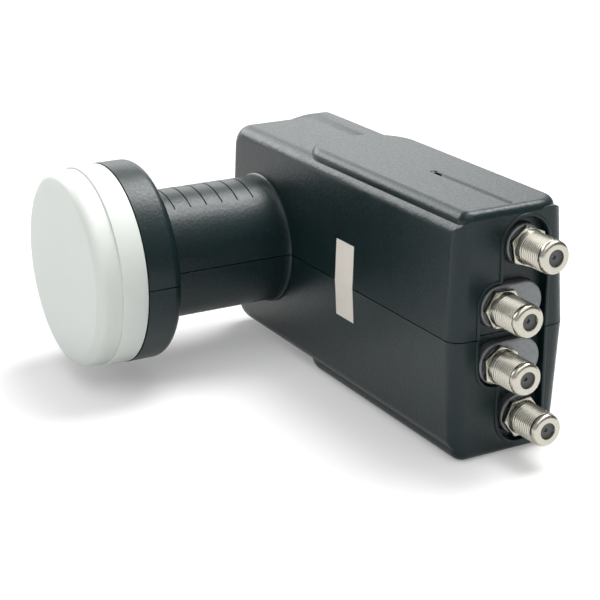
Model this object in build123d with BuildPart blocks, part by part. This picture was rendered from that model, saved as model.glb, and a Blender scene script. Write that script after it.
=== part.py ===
"""Four-output satellite LNB, lying on its side.

X runs along the feed axis, with the feed cap towards -X. Y runs along the body, with the
connectors towards -Y. Z runs across the two moulded halves, which part at Z = 0. The origin is
on the feed axis, where the clamp neck meets the front face of the body.
"""

import os
from math import cos, radians, sin, tan

from build123d import *

os.makedirs("parts", exist_ok=True)

# Feed end: clamp neck, collar and cap
neck_radius = 20.0
neck_length = 41.2
neck_root_radius = 21.6
neck_flare_length = 2.6
neck_wall = 2.5
collar_radius = 30.7
collar_length = 10.9
collar_wall = 2.3
collar_rear_round = 3.0
cap_radius = 30.5
cap_skirt_length = 7.8
cap_step = 0.7
cap_nose_length = 7.4
cap_rim_round = 3.1
cap_face_dish = 0.5
cap_wall = 1.8
cap_seat_gap = 0.25

# Index lines moulded into the neck
index_count = 6
index_pitch = 5.27
index_first = 6.6
index_width = 0.45
index_depth = 0.4
index_half_angle = 32.0

# Body block, before its draft. Its depth is that of the connector end.
body_depth = 37.3
back_taper = 2.2
body_far = 22.8
body_end = 109.8
side_height = 33.0
front_draft = 2.3
back_draft = 4.2
far_draft = 1.0
body_wall = 2.2
far_round = 7.6
front_round = 4.2
back_round = 4.5

# Rear rim and raised side panel
rim_front = 26.2
rim_ramp = 2.3
rim_proud = 0.8
rim_root = 1.5
rim_far_proud = 0.3
rim_far_round = 7.0
panel_proud = 2.3
panel_root = 6.0
panel_front = 2.5
panel_far = 19.5
panel_front_corner_share = 0.40
panel_back_corner_share = 0.49
panel_end_corner = 3.5
panel_back_end_corner = 8.0
panel_edge_round = 2.6

# Guide groove in the raised panel
groove_x = 19.3
groove_start = 70.0
groove_stop = 106.0
groove_radius = 1.5
groove_depth = 0.55
pocket_length = 3.6
pocket_width = 1.6
pocket_depth = 1.8
pocket_lead = 0.4

# Seam between the halves
tongue_width = 0.9
tongue_height = 0.8
seam_gap = 0.1
shadow_gap = 0.3

# Connector positions and the recess round them
slot_back_wall = 7.8
slot_side_wall = 1.0
slot_width = 14.3
port_back_margin = 7.6
port_side_margin = 8.7
port_stagger = 7.4
inner_port_z = 8.1
recess_depth = 2.5
recess_floor = 1.7
bay_gap = 0.4
bay_corner = 5.5
recess_lip_width = 1.0
recess_lip_proud = 0.4
recess_lip_round = 0.3
pad_gap = 0.3

# Die-cast chassis: horn, waveguide and board tray
guide_radius = 8.75
guide_wall = 3.0
horn_radius = 26.6
horn_lip = 2.4
horn_ring_count = 3
horn_ring_width = 3.0
horn_ring_depth = 6.0
horn_mouth_radius = 13.5
horn_length = 8.0
horn_back_length = 12.0
cap_grip_gap = 0.15
cap_seal_section = 0.8
tray_gap = 2.0
tray_side_gap = 1.8
tray_floor = 2.5
tray_wall = 2.5
lid_room = 7.5
tray_far = 19.0
tray_end_gap = 0.3
tray_corner = 5.0
ledge = 1.5
pad_radius = 6.0
outer_pad_radius = 5.7
pad_stretch = 7.8
pad_proud = 2.7
pad_edge_round = 0.6
cradle_width = 2.0
cradle_gap = 0.1
cradle_setback = 6.5
rib_width = 2.0
rib_gap = 0.2
rib_places = [-20.0, -43.5, -88.0]

# Board, lid and what they carry
board_thickness = 1.6
board_gap = 0.25
probe_width = 1.6
probe_length = 6.0
probe_thickness = 0.3
tongue_margin = 1.0
lid_thickness = 2.2
lid_rib = 1.6
lid_rib_gap = 0.6
lid_rib_end_gap = 44.8
short_depth = 7.0
lid_screw_radius = 1.5
lid_screw_head_radius = 2.75
lid_screw_head_height = 1.8
lid_screw_length = 9.0
lid_boss_radius = 3.0
screw_gap = 0.05
resonator_radius = 2.9
resonator_height = 2.5
tuner_radius = 2.5
tuner_length = 9.5
tuner_slot = 0.7
chip_size = 7.0
chip_height = 1.4
chip_end_gap = 30.8
regulator_size = 6.5
regulator_height = 2.3
regulator_end_gap = 14.8
transistor_size = 2.2
transistor_height = 1.1
tuner_gap = 1.2

# F connectors
hex_flats = 10.3
hex_thickness = 1.6
thread_radius = 4.7
port_reach = 13.7
relief_radius = 4.25
relief_length = 1.2
tip_round = 1.3
stub_radius = 4.0
stub_gap = 0.05
seal_thickness = 0.6
seal_radius = 4.9
insulator_radius = 3.0
insulator_gap = 0.05
mouth_radius = 2.35
mouth_depth = 1.0
contact_radius = 0.5
contact_gap = 0.1
contact_setback = 0.6
contact_inside = 4.0
hex_turn = {1: 39, 2: 58, 3: 35, 4: 6}

# Seal label across the seam on the front face
label_y = 52.5
label_width = 10.0
label_up = 12.6
label_down = 10.9
label_thickness = 0.15

# Places worked out from the sizes above
collar_front_x = -(neck_length + collar_length)
cap_rear_x = collar_front_x - cap_seat_gap
cap_step_x = cap_rear_x - cap_skirt_length
cap_face_x = cap_step_x - cap_nose_length
front_inset = side_height * tan(radians(front_draft))
back_inset = side_height * tan(radians(back_draft))
far_inset = side_height * tan(radians(far_draft))
side_mid_y = (body_far - body_end) / 2
body_length = body_far + body_end
slot_back = body_depth - slot_back_wall
slot_front = slot_back - slot_width
slot_half_height = side_height - slot_side_wall
outer_port_x = slot_back - port_back_margin
outer_port_z = side_height - port_side_margin
inner_port_x = outer_port_x - port_stagger
bay_front = inner_port_x - pad_radius - bay_gap / 2
bay_half_height = inner_port_z + pad_radius + bay_gap
recess_y = -(body_end - recess_depth)
floor_y = recess_y + recess_floor
tray_front = body_wall + tray_gap
tray_back = body_depth - body_wall - lid_room
tray_half_height = side_height - body_wall - tray_side_gap
tray_end_y = floor_y + tray_end_gap
pad_y = recess_y - pad_proud
hex_back_y = pad_y - seal_thickness
hex_front_y = hex_back_y - hex_thickness
tip_y = -(body_end + port_reach)
wall_inner_y = tray_end_y + tray_wall
board_front = (outer_port_x + inner_port_x - board_thickness) / 2
board_back = board_front + board_thickness
guide_outer = guide_radius + guide_wall
screw_wall_z = tray_half_height - tray_wall - lid_boss_radius / 2
screw_end_z = (outer_port_z + inner_port_z) / 2
screw_far_y = tray_far - tray_wall - lid_boss_radius
lid_screw_places = [
    (screw_far_y, screw_wall_z),
    (screw_far_y, -screw_wall_z),
    (side_mid_y, screw_wall_z),
    (side_mid_y, -screw_wall_z),
    (wall_inner_y + lid_boss_radius - screw_gap, screw_end_z),
    (wall_inner_y + lid_boss_radius - screw_gap, -screw_end_z),
]
resonator_places = [(-36.0, 13.0), (-36.0, -13.0)]
chip_y = wall_inner_y + chip_end_gap
chip_places = [(chip_y, 14.0), (chip_y, -14.0)]
regulator_y = wall_inner_y + regulator_end_gap
regulator_places = [(regulator_y, -21.0), (regulator_y, -7.0), (regulator_y, 7.0), (regulator_y, 21.0)]
transistor_places = [(-15.0, 0.0), (-19.5, 0.0), (0.0, 15.0), (0.0, 19.5)]
lid_rib_places = [-26.0, wall_inner_y + lid_rib_end_gap]
ports = {
    1: (outer_port_x, outer_port_z),
    2: (inner_port_x, inner_port_z),
    3: (inner_port_x, -inner_port_z),
    4: (outer_port_x, -outer_port_z),
}


def plan(front, back, far, end):
    """The corners of a plan whose back edge follows the taper of the body."""
    slope = back_taper / body_length
    back_near = back + slope * (body_end - end)
    back_far = back + slope * (body_end + far)
    return [(front, -end), (back_near, -end), (back_far, far), (front, far)]


def block(front, back, far, end, height, insets):
    """A half block standing on the seam plane, drafted by its (front, back, far) insets."""
    front_in, back_in, far_in = insets
    with BuildPart() as half_block:
        with BuildSketch(Plane.XY):
            Polygon(*plan(front, back, far, end), align=None)
        with BuildSketch(Plane.XY.offset(height)):
            Polygon(*plan(front + front_in, back - back_in, far - far_in, end), align=None)
        loft()
    return half_block.part


def edges_above_seam(face):
    """The edges of a face that don't lie in the seam plane."""
    return face.edges().filter_by(lambda edge: edge.center().Z > seam_gap)


def across(y):
    """A plane across the body at one place on Y, its x along X and its y along Z."""
    return Plane((0, y, 0), x_dir=(1, 0, 0), z_dir=(0, -1, 0))


def corners_at(sketch, x):
    """The corners of a sketch that stand at one local x."""
    return sketch.vertices().filter_by(lambda corner: abs(corner.X - x) < seam_gap)


def pad_outline(number, margin=0.0):
    """Draws the face of the cast boss behind one connector, grown by a margin."""
    x, z = ports[number]
    if x == inner_port_x:
        with Locations((x + pad_stretch / 2, z)):
            SlotCenterToCenter(pad_stretch, 2 * (pad_radius + margin))
    else:
        with Locations((x, z)):
            Circle(outer_pad_radius + margin)


# Outer block of one half: drafted walls, a large round at the far corner, soft edges
body_insets = (front_inset, back_inset, far_inset)
body_block = block(0, body_depth, body_far, body_end, side_height, body_insets)
with BuildPart() as half_body:
    add(body_block)
    fillet(half_body.edges().group_by(Axis.Z)[-1].sort_by(Axis.Y)[-1], far_round)
    fillet(edges_above_seam(half_body.faces().sort_by(Axis.X)[-1]), back_round)
    fillet(edges_above_seam(half_body.faces().sort_by(Axis.X)[0]), front_round)

# Rear rim: the same block a little higher, kept only along the back behind a ramp
rim_start = rim_front - rim_ramp * rim_root / rim_proud
rim_top = rim_front + rim_ramp
rim_height = side_height + rim_proud
rim_insets = (0, rim_height * tan(radians(back_draft)), rim_height * tan(radians(far_draft)))
rim_block = block(rim_start, body_depth, body_far + rim_far_proud, body_end, rim_height, rim_insets)
with BuildPart() as half_rim:
    add(rim_block)
    fillet(half_rim.edges().group_by(Axis.Z)[-1].sort_by(Axis.Y)[-1], rim_far_round)
    fillet(edges_above_seam(half_rim.faces().sort_by(Axis.X)[-1]), back_round)
    with BuildSketch(Plane.XZ.offset(-body_length)):
        with BuildLine():
            Polyline(
                (rim_start, side_height - rim_root),
                (rim_top, rim_height),
                (rim_top, rim_height + rim_ramp),
                (rim_start, rim_height + rim_ramp),
                close=True,
            )
        make_face()
    extrude(amount=2 * body_length, mode=Mode.SUBTRACT)

# Raised panel: a slab on the side, flush with the connector end
panel_height = side_height + panel_proud
panel_back = body_depth - back_inset
panel_front_corner = panel_front_corner_share * (panel_back - panel_front)
panel_back_corner = panel_back_corner_share * (panel_back - panel_front)
with BuildPart() as half_panel:
    with BuildSketch(Plane.XY.offset(side_height - panel_root)) as panel_plan:
        Polygon(*plan(panel_front, panel_back, -panel_far, body_end), align=None)
        fillet(panel_plan.vertices().group_by(Axis.Y)[-1].sort_by(Axis.X)[0], panel_front_corner)
        fillet(panel_plan.vertices().group_by(Axis.Y)[-1].sort_by(Axis.X)[-1], panel_back_corner)
        fillet(panel_plan.vertices().group_by(Axis.Y)[0].sort_by(Axis.X)[0], panel_end_corner)
        fillet(panel_plan.vertices().group_by(Axis.Y)[0].sort_by(Axis.X)[-1], panel_back_end_corner)
    extrude(amount=panel_root + panel_proud)
    panel_top = half_panel.faces().sort_by(Axis.Z)[-1]
    fillet(panel_top.edges(), panel_edge_round)

# Clamp neck and collar of one half, turned about the feed axis
with BuildPart() as half_neck:
    with BuildSketch(Plane.XY) as neck_profile:
        with BuildLine():
            start = (collar_front_x, 0)
            flare_start = (-neck_flare_length, neck_radius)
            Polyline(
                start,
                (collar_front_x, collar_radius),
                (-neck_length, collar_radius),
                (-neck_length, neck_radius),
                flare_start,
            )
            flare = TangentArc(flare_start, (0, neck_root_radius), tangent=(1, 0))
            Polyline(flare @ 1, (body_wall, neck_root_radius), (body_wall, 0), start)
        make_face()
        collar_corner = neck_profile.vertices().group_by(Axis.Y)[-1].sort_by(Axis.X)[-1]
        fillet(collar_corner, collar_rear_round)
    revolve(axis=Axis.X, revolution_arc=180)

# Hollow of one half: body cavity, neck bore and collar cup
cavity_height = side_height - body_wall
cavity_insets = (
    cavity_height * tan(radians(front_draft)),
    cavity_height * tan(radians(back_draft)),
    cavity_height * tan(radians(far_draft)),
)
cavity_far = body_far - body_wall
cavity_back = body_depth - body_wall
cavity_block = block(body_wall, cavity_back, cavity_far, -floor_y, cavity_height, cavity_insets)
with BuildPart() as half_cavity:
    add(cavity_block)
    fillet(half_cavity.edges().group_by(Axis.Z)[-1].sort_by(Axis.Y)[-1], far_round - body_wall)
    fillet(edges_above_seam(half_cavity.faces().sort_by(Axis.X)[0]), front_round - body_wall)
    fillet(edges_above_seam(half_cavity.faces().sort_by(Axis.X)[-1]), back_round - body_wall)
with BuildPart() as neck_hollow:
    with BuildSketch(Plane.XY):
        with BuildLine():
            Polyline(
                (collar_front_x, 0),
                (collar_front_x, collar_radius - collar_wall),
                (-neck_length - collar_wall, collar_radius - collar_wall),
                (-neck_length - collar_wall, neck_radius - neck_wall),
                (body_wall + front_round, neck_radius - neck_wall),
                (body_wall + front_round, 0),
                close=True,
            )
        make_face()
    revolve(axis=Axis.X, revolution_arc=180)

# Outline of the recess round the connectors, a slot with a bay for the inner pair
with BuildSketch() as recess:
    with Locations(((slot_front + slot_back) / 2, 0)):
        SlotOverall(2 * slot_half_height, slot_back - slot_front, rotation=90)
    with Locations(((bay_front + slot_back) / 2, 0)):
        Rectangle(slot_back - bay_front, 2 * bay_half_height)
    fillet(corners_at(recess, bay_front), bay_corner)

# Upper half of the moulded housing
rib_foot = tray_half_height + rib_gap
rib_drop = cavity_height - rib_foot + body_wall / 2
cradle_places = [-neck_length + collar_length / 2, -cradle_setback]
with BuildPart() as housing_upper:
    add(half_body.part)
    add(half_rim.part)
    add(half_panel.part)
    add(half_neck.part)
    add(half_cavity.part, mode=Mode.SUBTRACT)
    add(neck_hollow.part, mode=Mode.SUBTRACT)
    # Ribs that hold the chassis at its sides, and cradles that hold the waveguide
    for place in rib_places:
        with Locations(((tray_front + tray_back) / 2, place, rib_foot + rib_drop / 2)):
            Box(tray_back - tray_front, rib_width, rib_drop)
    for place in cradle_places:
        with BuildSketch(Plane.YZ.offset(place)):
            Circle(neck_radius - neck_wall / 2)
            Circle(guide_outer + cradle_gap, mode=Mode.SUBTRACT)
            with Locations((0, -neck_radius)):
                Rectangle(4 * neck_radius, 2 * neck_radius, mode=Mode.SUBTRACT)
        extrude(amount=cradle_width)
    # Recess round the connectors with a raised lip, and the holes that the cast pads come through
    with BuildSketch(across(-body_end)):
        add(recess.sketch)
    extrude(amount=-recess_depth, mode=Mode.SUBTRACT)
    with BuildSketch(across(recess_y)):
        add(recess.sketch)
        offset(amount=recess_lip_width)
        add(recess.sketch, mode=Mode.SUBTRACT)
        with Locations((0, -slot_half_height)):
            Rectangle(4 * body_depth, 2 * slot_half_height, mode=Mode.SUBTRACT)
    extrude(amount=recess_depth + recess_lip_proud)
    lip_face = housing_upper.faces().sort_by(Axis.Y)[0]
    fillet(edges_above_seam(lip_face), recess_lip_round)
    with BuildSketch(across(recess_y)):
        for number in ports:
            pad_outline(number, pad_gap)
    extrude(amount=-recess_floor, mode=Mode.SUBTRACT)
    # Shallow guide groove with a deeper pocket at its far end
    groove_z = panel_height + groove_radius - groove_depth
    with Locations(Location((groove_x, -(groove_start + groove_stop) / 2, groove_z), (90, 0, 0))):
        Cylinder(groove_radius, groove_stop - groove_start, mode=Mode.SUBTRACT)
    with Locations((groove_x, -groove_start, groove_z), (groove_x, -groove_stop, groove_z)):
        Sphere(groove_radius, mode=Mode.SUBTRACT)
    with BuildSketch(Plane.XY.offset(panel_height)):
        with Locations((groove_x, pocket_lead - groove_start - pocket_length / 2)):
            SlotOverall(pocket_length, pocket_width, rotation=90)
    extrude(amount=-pocket_depth, mode=Mode.SUBTRACT)
    # Index lines over the top of the neck
    for count in range(index_count):
        line_x = -neck_length + index_first + count * index_pitch
        with BuildSketch(Plane.YZ.offset(line_x)):
            with BuildLine():
                side = 2 * neck_radius
                Polyline(
                    (0, 0),
                    (side * sin(radians(index_half_angle)), side * cos(radians(index_half_angle))),
                    (-side * sin(radians(index_half_angle)), side * cos(radians(index_half_angle))),
                    close=True,
                )
            make_face()
            Circle(neck_radius - index_depth, mode=Mode.SUBTRACT)
            Circle(neck_radius + index_depth, mode=Mode.INTERSECT)
        extrude(amount=index_width, mode=Mode.SUBTRACT)

# Seam: a tongue under the upper half seats in a rebate of the lower half
cavity_plan = plan(body_wall, cavity_back, cavity_far, -floor_y)
with BuildPart() as seam_tongue:
    with BuildSketch(Plane.XY):
        Polygon(*cavity_plan, align=None)
        offset(amount=tongue_width)
        Polygon(*cavity_plan, align=None, mode=Mode.SUBTRACT)
        Rectangle(2 * body_wall, 2 * neck_radius, mode=Mode.SUBTRACT)
    extrude(amount=-tongue_height)
with BuildPart() as seam_rebate:
    with BuildSketch(Plane.XY):
        Polygon(*cavity_plan, align=None)
        offset(amount=tongue_width + seam_gap)
        Polygon(*cavity_plan, align=None, mode=Mode.SUBTRACT)
    extrude(amount=-tongue_height)

# Lower half: the mirror image, with the rebate and an open line along the seam
with BuildPart() as housing_lower:
    mirror(housing_upper.part, about=Plane.XY, mode=Mode.ADD)
    with BuildSketch(Plane.XY):
        with Locations((0, side_mid_y)):
            Rectangle(4 * body_length, 4 * body_length)
    extrude(amount=-shadow_gap, mode=Mode.SUBTRACT)
    add(seam_rebate.part, mode=Mode.SUBTRACT)
with BuildPart() as housing_top:
    add(housing_upper.part)
    add(seam_tongue.part)

# Feed cap: a moulded cup with a stepped skirt, a rounded rim and a dished face
nose_radius = cap_radius - cap_step
cap_inner_radius = cap_radius - cap_wall
nose_inner_radius = nose_radius - cap_wall
with BuildPart() as feed_cap:
    with BuildSketch(Plane.XY) as cap_profile:
        with BuildLine():
            Polyline(
                (cap_rear_x, 0),
                (cap_rear_x, cap_radius),
                (cap_step_x, cap_radius),
                (cap_step_x, nose_radius),
                (cap_face_x, nose_radius),
                (cap_face_x + cap_face_dish, 0),
                close=True,
            )
        make_face()
        rim_corner = cap_profile.vertices().group_by(Axis.X)[0]
        fillet(rim_corner, cap_rim_round)
    revolve(axis=Axis.X)
    with BuildSketch(Plane.XY) as cap_hollow:
        with BuildLine():
            Polyline(
                (cap_rear_x, 0),
                (cap_rear_x, cap_inner_radius),
                (cap_step_x, cap_inner_radius),
                (cap_step_x, nose_inner_radius),
                (cap_face_x + cap_wall, nose_inner_radius),
                (cap_face_x + cap_wall + cap_face_dish, 0),
                close=True,
            )
        make_face()
        inner_corner = cap_hollow.vertices().group_by(Axis.X)[0]
        fillet(inner_corner, cap_rim_round - cap_wall)
    revolve(axis=Axis.X, mode=Mode.SUBTRACT)

# Die-cast chassis: corrugated horn, waveguide, and the tray that takes the board
horn_front_x = cap_face_x + cap_wall + horn_lip
flange_radius = cap_inner_radius - cap_grip_gap
flange_front_x = (cap_step_x + cap_rear_x) / 2 - cap_seal_section * 3
seal_x = (flange_front_x + cap_rear_x) / 2
seal_floor = cap_inner_radius - 2 * cap_seal_section - seam_gap
throat_x = cap_rear_x + horn_length
with BuildPart() as chassis:
    with BuildSketch(Plane.XY):
        with BuildLine():
            Polyline(
                (board_front, guide_radius),
                (throat_x, guide_radius),
                (horn_front_x + horn_ring_depth, horn_mouth_radius),
                (horn_front_x, horn_mouth_radius),
                (horn_front_x, horn_radius),
                (flange_front_x, horn_radius),
                (flange_front_x, flange_radius),
                (cap_rear_x, flange_radius),
                (cap_rear_x, horn_radius),
                (cap_rear_x + horn_back_length, guide_outer),
                (board_front, guide_outer),
                close=True,
            )
        make_face()
        for count in range(horn_ring_count):
            ring_pitch = (horn_radius - horn_mouth_radius) / horn_ring_count
            ring_middle = horn_mouth_radius + (count + 0.5) * ring_pitch
            with Locations((horn_front_x + horn_ring_depth / 2, ring_middle)):
                Rectangle(horn_ring_depth, horn_ring_width, mode=Mode.SUBTRACT)
        with Locations((seal_x, (seal_floor + flange_radius) / 2)):
            Rectangle(3 * cap_seal_section, flange_radius - seal_floor, mode=Mode.SUBTRACT)
    revolve(axis=Axis.X)
    tray_mid_y = (tray_far + tray_end_y) / 2
    tray_length = tray_far - tray_end_y
    with BuildSketch(Plane.YZ.offset(tray_front)):
        with Locations((tray_mid_y, 0)):
            RectangleRounded(tray_length, 2 * tray_half_height, tray_corner)
        Circle(guide_radius, mode=Mode.SUBTRACT)
    extrude(amount=tray_back - tray_front)
    with BuildSketch(Plane.YZ.offset(board_front)):
        with Locations((tray_mid_y, 0)):
            RectangleRounded(
                tray_length - 2 * tray_wall,
                2 * (tray_half_height - tray_wall),
                tray_corner - tray_wall,
            )
    extrude(amount=tray_back - board_front, mode=Mode.SUBTRACT)
    with BuildSketch(Plane.YZ.offset(tray_front + tray_floor)):
        with Locations((tray_mid_y, 0)):
            RectangleRounded(
                tray_length - 2 * (tray_wall + ledge),
                2 * (tray_half_height - tray_wall - ledge),
                tray_corner - tray_wall,
            )
        Circle(guide_outer, mode=Mode.SUBTRACT)
    extrude(amount=board_front - tray_front - tray_floor, mode=Mode.SUBTRACT)
    # Bosses for the lid screws
    with BuildSketch(Plane.YZ.offset(tray_front + tray_floor / 2)):
        with Locations(*lid_screw_places):
            Circle(lid_boss_radius)
    extrude(amount=tray_back - tray_front - tray_floor / 2)
    # Pads behind the connectors, and the threaded holes through them
    with BuildSketch(across(pad_y)):
        for number in ports:
            pad_outline(number)
    extrude(amount=-(tray_end_y - pad_y))
    fillet(chassis.edges().group_by(Axis.Y)[0], pad_edge_round)
    with BuildSketch(across(pad_y)):
        with Locations(*ports.values()):
            Circle(stub_radius + stub_gap)
    extrude(amount=-(wall_inner_y + ledge - pad_y), mode=Mode.SUBTRACT)
    with BuildSketch(Plane.YZ.offset(tray_back)):
        with Locations(*lid_screw_places):
            Circle(lid_screw_radius + screw_gap)
    extrude(amount=-lid_screw_length, mode=Mode.SUBTRACT)

# Rubber ring between the cap and the horn flange
with BuildPart() as cap_seal:
    with BuildSketch(Plane.XY):
        with Locations((seal_x, cap_inner_radius - cap_seal_section - seam_gap / 2)):
            Circle(cap_seal_section)
    revolve(axis=Axis.X)

# Circuit board with a window over the waveguide and two tongues that carry the probes
with BuildPart() as circuit_board:
    with BuildSketch(Plane.YZ.offset(board_front)):
        with Locations((tray_mid_y, 0)):
            RectangleRounded(
                tray_length - 2 * (tray_wall + board_gap),
                2 * (tray_half_height - tray_wall - board_gap),
                tray_corner - tray_wall - board_gap,
            )
        Circle(guide_radius, mode=Mode.SUBTRACT)
        tongue_length = probe_length + tongue_margin
        with Locations((-guide_radius + tongue_length / 2 - tongue_margin, 0)):
            Rectangle(tongue_length, probe_width + 2 * tongue_margin)
        with Locations((0, guide_radius - tongue_length / 2 + tongue_margin)):
            Rectangle(probe_width + 2 * tongue_margin, tongue_length)
        with Locations(*lid_screw_places):
            Circle(lid_boss_radius + board_gap, mode=Mode.SUBTRACT)
    extrude(amount=board_thickness)

# Copper probes printed on the two tongues, one for each polarisation
with BuildPart() as probe_along:
    with BuildSketch(Plane.YZ.offset(board_back)):
        with Locations((-guide_radius + probe_length / 2 - tongue_margin, 0)):
            Rectangle(probe_length, probe_width)
    extrude(amount=probe_thickness)
with BuildPart() as probe_across:
    with BuildSketch(Plane.YZ.offset(board_back)):
        with Locations((0, guide_radius - probe_length / 2 + tongue_margin)):
            Rectangle(probe_width, probe_length)
    extrude(amount=probe_thickness)

# Lid of the tray: plate, cup that closes the waveguide, and screening ribs
with BuildPart() as chassis_lid:
    with BuildSketch(Plane.YZ.offset(tray_back)):
        with Locations((tray_mid_y, 0)):
            RectangleRounded(tray_length, 2 * tray_half_height, tray_corner)
    extrude(amount=lid_thickness)
    with BuildSketch(Plane.YZ.offset(board_back + lid_rib_gap)):
        Circle(guide_outer)
        for place in lid_rib_places:
            with Locations((place, 0)):
                Rectangle(lid_rib, 2 * (tray_half_height - tray_wall - lid_boss_radius))
    extrude(amount=tray_back - board_back - lid_rib_gap)
    with BuildSketch(Plane.YZ.offset(board_back + lid_rib_gap)):
        Circle(guide_radius)
    extrude(amount=short_depth - lid_rib_gap, mode=Mode.SUBTRACT)
    with BuildSketch(Plane.YZ.offset(tray_back)):
        with Locations(*lid_screw_places):
            Circle(lid_screw_radius + screw_gap)
        with Locations(*resonator_places):
            Circle(tuner_radius + screw_gap)
    extrude(amount=lid_thickness, mode=Mode.SUBTRACT)

# Screws that hold the lid down
lid_back = tray_back + lid_thickness
with BuildPart() as lid_screws:
    with BuildSketch(Plane.YZ.offset(lid_back)):
        with Locations(*lid_screw_places):
            Circle(lid_screw_head_radius)
    extrude(amount=lid_screw_head_height)
    with BuildSketch(Plane.YZ.offset(lid_back)):
        with Locations(*lid_screw_places):
            Circle(lid_screw_radius)
    extrude(amount=-lid_screw_length)

# Ceramic resonators of the two oscillators, and the screws that tune them
with BuildPart() as resonators:
    with BuildSketch(Plane.YZ.offset(board_back)):
        with Locations(*resonator_places):
            Circle(resonator_radius)
    extrude(amount=resonator_height)
tuner_tip = board_back + resonator_height + tuner_gap
with BuildPart() as tuning_screws:
    with BuildSketch(Plane.YZ.offset(tuner_tip)):
        with Locations(*resonator_places):
            Circle(tuner_radius)
    extrude(amount=tuner_length)
    with BuildSketch(Plane.YZ.offset(tuner_tip + tuner_length)):
        with Locations(*resonator_places):
            Rectangle(2 * tuner_radius, tuner_slot)
    extrude(amount=-tuner_slot, mode=Mode.SUBTRACT)

# Parts soldered to the back of the board
with BuildPart() as switch_chips:
    with BuildSketch(Plane.YZ.offset(board_back)):
        with Locations(*chip_places):
            Rectangle(chip_size, chip_size)
    extrude(amount=chip_height)
with BuildPart() as regulators:
    with BuildSketch(Plane.YZ.offset(board_back)):
        with Locations(*regulator_places):
            Rectangle(regulator_size, regulator_size)
    extrude(amount=regulator_height)
with BuildPart() as transistors:
    with BuildSketch(Plane.YZ.offset(board_back)):
        with Locations(*transistor_places):
            Rectangle(transistor_size, transistor_size)
    extrude(amount=transistor_height)

# Blank seal label, folded over the seam along the two drafted front faces
with BuildPart() as seal_label:
    with BuildSketch(Plane.XZ.offset(label_y - label_width / 2)):
        with BuildLine():
            slope = tan(radians(front_draft))
            Polyline(
                (0, 0),
                (label_up * slope, label_up),
                (label_up * slope - label_thickness, label_up),
                (-label_thickness, 0),
                (label_down * slope - label_thickness, -label_down),
                (label_down * slope, -label_down),
                close=True,
            )
        make_face()
    extrude(amount=label_width)


def port_shell(number):
    """Nickel-plated shell of one F connector: hex, threaded barrel and a stub into the chassis."""
    place = ports[number]
    with BuildPart() as shell:
        with BuildSketch(across(hex_back_y)):
            with Locations(place):
                RegularPolygon(hex_flats / 2, 6, major_radius=False, rotation=hex_turn[number])
        extrude(amount=hex_thickness)
        with BuildSketch(across(hex_front_y)):
            with Locations(place):
                Circle(relief_radius)
        extrude(amount=relief_length)
        with BuildSketch(across(hex_front_y - relief_length)):
            with Locations(place):
                Circle(thread_radius)
        extrude(amount=hex_front_y - relief_length - tip_y)
        fillet(shell.edges().group_by(Axis.Y)[0], tip_round)
        with BuildSketch(across(hex_back_y)):
            with Locations(place):
                Circle(stub_radius)
        extrude(amount=-(wall_inner_y - hex_back_y))
        with BuildSketch(across(wall_inner_y)):
            with Locations(place):
                Circle(insulator_radius + insulator_gap)
        extrude(amount=wall_inner_y - tip_y - mouth_depth, mode=Mode.SUBTRACT)
        with BuildSketch(across(tip_y + mouth_depth)):
            with Locations(place):
                Circle(mouth_radius)
        extrude(amount=mouth_depth, mode=Mode.SUBTRACT)
    return shell.part


def port_insulator(number):
    """Plastic insulator of one F connector, with the hole for the cable's centre wire."""
    with BuildPart() as insulator:
        with BuildSketch(across(wall_inner_y)):
            with Locations(ports[number]):
                Circle(insulator_radius)
                Circle(contact_radius + contact_gap, mode=Mode.SUBTRACT)
        extrude(amount=wall_inner_y - tip_y - mouth_depth)
    return insulator.part


def port_contact(number):
    """Sprung centre contact of one F connector, with its leg down to the board."""
    x, z = ports[number]
    leg_end = board_front if x < board_front else board_back
    contact_end_y = wall_inner_y + contact_inside
    with BuildPart() as contact:
        with BuildSketch(across(contact_end_y)):
            with Locations((x, z)):
                Circle(contact_radius)
        extrude(amount=contact_end_y - tip_y - mouth_depth - contact_setback)
        with BuildSketch(Plane.YZ.offset(x)):
            with Locations((contact_end_y - contact_radius, z)):
                Circle(contact_radius)
        extrude(amount=leg_end - x)
    return contact.part


def port_seal(number):
    """Rubber ring between the hex of one F connector and its pad."""
    with BuildPart() as seal:
        with BuildSketch(across(pad_y)):
            with Locations(ports[number]):
                Circle(seal_radius)
                Circle(stub_radius + stub_gap, mode=Mode.SUBTRACT)
        extrude(amount=seal_thickness)
    return seal.part


pieces = {
    "feed_cap": feed_cap.part,
    "cap_seal": cap_seal.part,
    "housing_upper": housing_top.part,
    "housing_lower": housing_lower.part,
    "chassis": chassis.part,
    "chassis_lid": chassis_lid.part,
    "lid_screws": lid_screws.part,
    "circuit_board": circuit_board.part,
    "probe_along": probe_along.part,
    "probe_across": probe_across.part,
    "resonators": resonators.part,
    "tuning_screws": tuning_screws.part,
    "switch_chips": switch_chips.part,
    "regulators": regulators.part,
    "transistors": transistors.part,
    "seal_label": seal_label.part,
}
for number in ports:
    pieces[f"port_shell_{number}"] = port_shell(number)
    pieces[f"port_insulator_{number}"] = port_insulator(number)
    pieces[f"port_contact_{number}"] = port_contact(number)
    pieces[f"port_seal_{number}"] = port_seal(number)

for name, piece in pieces.items():
    piece.label = name
    export_step(piece, f"parts/{name}.step")
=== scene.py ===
"""Four-output satellite LNB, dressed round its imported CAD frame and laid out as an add-on."""

from math import atan2, cos, pi, radians, tan

import bmesh
import bpy
from bpy.props import FloatProperty, FloatVectorProperty, IntProperty, PointerProperty
from bpy.types import Operator, Panel, PropertyGroup
from mathutils import Matrix, Vector, noise


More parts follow.
